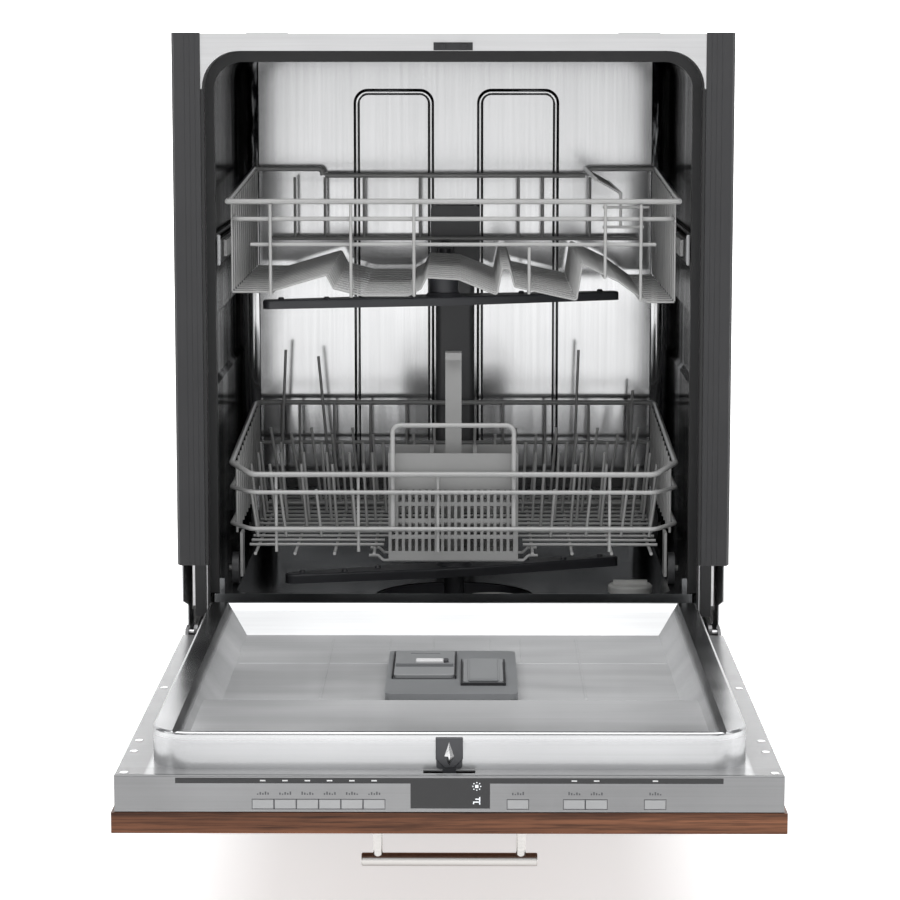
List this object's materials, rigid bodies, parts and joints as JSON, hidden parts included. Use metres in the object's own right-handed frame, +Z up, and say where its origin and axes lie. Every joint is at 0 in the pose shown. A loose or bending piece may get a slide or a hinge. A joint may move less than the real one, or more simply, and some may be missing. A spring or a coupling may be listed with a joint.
{
  "type": "built-in dishwasher",
  "caption": "Built-in dishwasher with fold-down door, pull-out racks, cutlery basket, spray arms, sump and pumps, shown open.",
  "frame": {"origin": "on the floor, at the middle of the footprint that the machine takes with its door open", "axes": "+X to the machine's right seen from the front, +Y back to the kitchen wall, +Z up; the front faces -Y"},
  "size_m": [0.6056, 1.22, 0.86],
  "materials": {
    "stainless": "polished",
    "frame_steel": "satin",
    "galvanised": "spangled",
    "rubber_black": "matt",
    "rubber_grey": "ribbed",
    "felt": "felt",
    "black_plastic": "moulded",
    "dark_plastic": "moulded",
    "grey_plastic": "moulded",
    "coated_wire": "nylon coated",
    "fascia_silver": "satin",
    "display_black": "gloss",
    "walnut": "oiled walnut",
    "handle_steel": "satin"
  },
  "bodies": {
    "cabinet": {"front_frame": "frame_steel", "tub_wrapper": "stainless", "tub_back_wall": "stainless", "tub_floor": "stainless", "tub_gasket": "rubber_black", "side_trims": "rubber_grey", "side_panels": "galvanised", "insulation_blanket": "felt", "base_tray": "galvanised", "toe_panel": "black_plastic", "hinge_brackets": "frame_steel", "sump_housing": "dark_plastic", "circulation_pump": "black_plastic", "drain_pump": "black_plastic", "salt_container": "grey_plastic", "water_inlet_valve": "grey_plastic", "junction_box": "black_plastic", "spray_feed_duct": "dark_plastic", "latch_strike": "black_plastic", "worktop_brackets": "frame_steel", "upper_tracks": "frame_steel"},
    "door": {"inner_door_panel": "stainless", "door_outer_shell": "galvanised", "control_fascia": "fascia_silver", "display_window": "display_black", "wood_front_panel": "walnut", "bar_handle": "handle_steel", "dispenser_housing": "grey_plastic", "door_latch": "dark_plastic", "door_screws": "frame_steel", "hinge_arms": "frame_steel"},
    "runners": {"telescopic_rails": "frame_steel"},
    "upper_rack": {"upper_rack": "coated_wire", "feed_manifold": "dark_plastic"},
    "lower_rack": {"lower_rack": "coated_wire"},
    "filter_cup": {"filter_cup": "grey_plastic"},
    "salt_cap": {"salt_cap": "grey_plastic"},
    "foot_front_left": {"foot_front_left": "black_plastic"},
    "foot_front_right": {"foot_front_right": "black_plastic"},
    "foot_rear": {"foot_rear": "black_plastic"},
    "detergent_lid": {"detergent_lid": "grey_plastic"},
    "rinse_aid_lid": {"rinse_aid_lid": "grey_plastic"},
    "cup_shelf": {"cup_shelf": "coated_wire"},
    "upper_spray_arm": {"upper_spray_arm": "dark_plastic"},
    "lower_spray_arm": {"lower_spray_arm": "dark_plastic"},
    "front_wheels": {"front_wheels": "grey_plastic"},
    "rear_wheels": {"rear_wheels": "grey_plastic"},
    "rear_tine_row": {"rear_tine_row": "coated_wire"},
    "cutlery_basket": {"cutlery_basket": "grey_plastic"},
    "button_1": {"button_1": "grey_plastic"},
    "button_2": {"button_2": "grey_plastic"},
    "button_3": {"button_3": "grey_plastic"},
    "button_4": {"button_4": "grey_plastic"},
    "button_5": {"button_5": "grey_plastic"},
    "button_6": {"button_6": "grey_plastic"},
    "button_7": {"button_7": "grey_plastic"},
    "button_8": {"button_8": "grey_plastic"},
    "button_9": {"button_9": "grey_plastic"},
    "button_10": {"button_10": "grey_plastic"}
  },
  "joints": [
    {"name": "door_hinge", "type": "hinge", "parent": "cabinet", "child": "door", "pos_m": [0, 0.04, 0.207], "axis": [-1, 0, 0], "range_deg": [0, 90]},
    {"name": "upper_rack_slide", "type": "slide", "parent": "cabinet", "child": "upper_rack", "axis": [0, 1, 0], "range_m": [-0.4, 0]},
    {"name": "runner_slide", "type": "slide", "parent": "cabinet", "child": "runners", "axis": [0, 1, 0], "range_m": [-0.2, 0]},
    {"name": "lower_rack_slide", "type": "slide", "parent": "cabinet", "child": "lower_rack", "axis": [0, 1, 0], "range_m": [-0.45, 0]},
    {"name": "front_wheels_spin", "type": "hinge", "parent": "lower_rack", "child": "front_wheels", "pos_m": [0, 0.141, 0.2614], "axis": [1, 0, 0], "continuous": true},
    {"name": "rear_wheels_spin", "type": "hinge", "parent": "lower_rack", "child": "rear_wheels", "pos_m": [0, 0.445, 0.2614], "axis": [1, 0, 0], "continuous": true},
    {"name": "upper_spray_arm_spin", "type": "hinge", "parent": "upper_rack", "child": "upper_spray_arm", "pos_m": [-0.012, 0.285, 0.553], "axis": [0, 0, 1], "continuous": true},
    {"name": "lower_spray_arm_spin", "type": "hinge", "parent": "cabinet", "child": "lower_spray_arm", "pos_m": [0, 0.295, 0.232], "axis": [0, 0, 1], "continuous": true},
    {"name": "cup_shelf_fold", "type": "hinge", "parent": "upper_rack", "child": "cup_shelf", "pos_m": [0.186, 0.295, 0.683], "axis": [0, 1, 0], "range_deg": [0, 100]},
    {"name": "rear_tine_row_fold", "type": "hinge", "parent": "lower_rack", "child": "rear_tine_row", "pos_m": [0, 0.375, 0.299], "axis": [1, 0, 0], "range_deg": [0, 80]},
    {"name": "cutlery_basket_lift", "type": "slide", "parent": "lower_rack", "child": "cutlery_basket", "axis": [0, 0, 1], "range_m": [0, 0.03]},
    {"name": "detergent_lid_slide", "type": "slide", "parent": "door", "child": "detergent_lid", "axis": [0, -1, 0], "range_m": [0, 0.055]},
    {"name": "rinse_aid_lid_flip", "type": "hinge", "parent": "door", "child": "rinse_aid_lid", "pos_m": [0.0315, -0.2065, 0.228], "axis": [-1, 0, 0], "range_deg": [0, 80]},
    {"name": "button_1_press", "type": "slide", "parent": "door", "child": "button_1", "axis": [0, 1, 0], "range_m": [0, 0.0015], "stiffness_N_per_m": 300},
    {"name": "button_2_press", "type": "slide", "parent": "door", "child": "button_2", "axis": [0, 1, 0], "range_m": [0, 0.0015], "stiffness_N_per_m": 300},
    {"name": "button_3_press", "type": "slide", "parent": "door", "child": "button_3", "axis": [0, 1, 0], "range_m": [0, 0.0015], "stiffness_N_per_m": 300},
    {"name": "button_4_press", "type": "slide", "parent": "door", "child": "button_4", "axis": [0, 1, 0], "range_m": [0, 0.0015], "stiffness_N_per_m": 300},
    {"name": "button_5_press", "type": "slide", "parent": "door", "child": "button_5", "axis": [0, 1, 0], "range_m": [0, 0.0015], "stiffness_N_per_m": 300},
    {"name": "button_6_press", "type": "slide", "parent": "door", "child": "button_6", "axis": [0, 1, 0], "range_m": [0, 0.0015], "stiffness_N_per_m": 300},
    {"name": "button_7_press", "type": "slide", "parent": "door", "child": "button_7", "axis": [0, 1, 0], "range_m": [0, 0.0015], "stiffness_N_per_m": 300},
    {"name": "button_8_press", "type": "slide", "parent": "door", "child": "button_8", "axis": [0, 1, 0], "range_m": [0, 0.0015], "stiffness_N_per_m": 300},
    {"name": "button_9_press", "type": "slide", "parent": "door", "child": "button_9", "axis": [0, 1, 0], "range_m": [0, 0.0015], "stiffness_N_per_m": 300},
    {"name": "button_10_press", "type": "slide", "parent": "door", "child": "button_10", "axis": [0, 1, 0], "range_m": [0, 0.0015], "stiffness_N_per_m": 300},
    {"name": "filter_cup_twist", "type": "hinge", "parent": "cabinet", "child": "filter_cup", "pos_m": [0.045, 0.26, 0.2], "axis": [0, 0, 1], "range_deg": [0, 45]},
    {"name": "salt_cap_turn", "type": "hinge", "parent": "cabinet", "child": "salt_cap", "pos_m": [0.207, 0.27, 0.21], "axis": [0, 0, 1], "range_deg": [0, 90]},
    {"name": "foot_front_left_screw", "type": "slide", "parent": "cabinet", "child": "foot_front_left", "axis": [0, 0, -1], "range_m": [0, 0.04]},
    {"name": "foot_front_right_screw", "type": "slide", "parent": "cabinet", "child": "foot_front_right", "axis": [0, 0, -1], "range_m": [0, 0.04]},
    {"name": "foot_rear_screw", "type": "slide", "parent": "cabinet", "child": "foot_rear", "axis": [0, 0, -1], "range_m": [0, 0.04]}
  ],
  "couplings": [
    {"joint": "runner_slide", "follows": "upper_rack_slide", "ratio": 0.5},
    {"joint": "front_wheels_spin", "follows": "lower_rack_slide", "rad_per_m": -55.556},
    {"joint": "rear_wheels_spin", "follows": "lower_rack_slide", "rad_per_m": -55.556}
  ]
}
